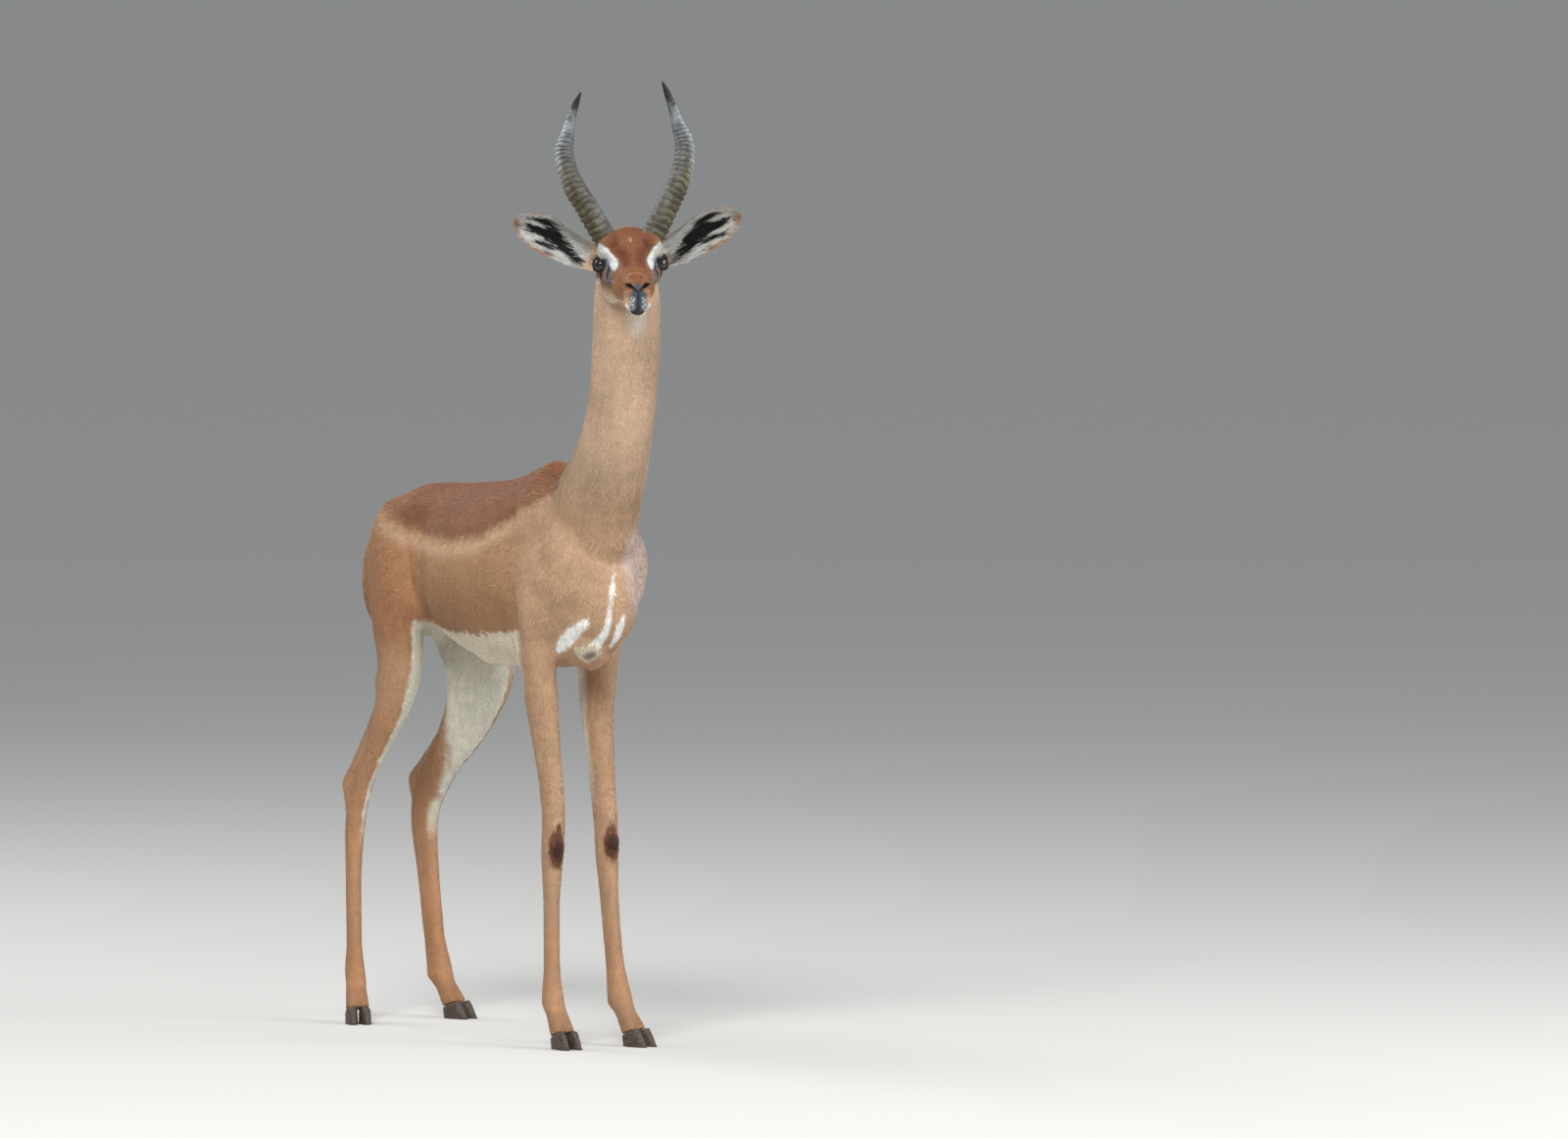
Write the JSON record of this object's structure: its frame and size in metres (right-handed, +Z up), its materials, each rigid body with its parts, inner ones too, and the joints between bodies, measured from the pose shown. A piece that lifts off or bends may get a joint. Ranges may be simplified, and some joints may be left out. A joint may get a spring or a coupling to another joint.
{
  "type": "gerenuk",
  "caption": "Standing male gerenuk, a long-necked antelope with lyre-shaped ringed horns, its head turned to its right; a still, life-size model.",
  "frame": {"origin": "centre of the bounding box at ground level, under the middle of the body", "axes": "+Z up, the body faces -Y, the animal's left side is at +X"},
  "size_m": [0.3056, 1.0294, 1.6295],
  "materials": {
    "coat": "short smooth hair, tan with a darker saddle and white underparts",
    "tuft": "longer dark hair",
    "horn": "ringed horn, smooth and darker at the tips",
    "eye": "wet and glossy",
    "hoof": "dull dark horn"
  },
  "bodies": {
    "root": {"head": "coat", "neck": "coat", "torso": "coat", "ear_left": "coat", "ear_right": "coat", "tail": "tuft", "leg_front_left_upper": "coat", "leg_front_left_lower": "coat", "leg_front_right_upper": "coat", "leg_front_right_lower": "coat", "leg_hind_left_upper": "coat", "leg_hind_left_lower": "coat", "leg_hind_right_upper": "coat", "leg_hind_right_lower": "coat", "horn_left": "horn", "horn_right": "horn", "eye_left": "eye", "eye_right": "eye", "hoof_front_left_a": "hoof", "hoof_front_left_b": "hoof", "hoof_front_right_a": "hoof", "hoof_front_right_b": "hoof", "hoof_hind_left_a": "hoof", "hoof_hind_left_b": "hoof", "hoof_hind_right_a": "hoof", "hoof_hind_right_b": "hoof"}
  },
  "joints": []
}
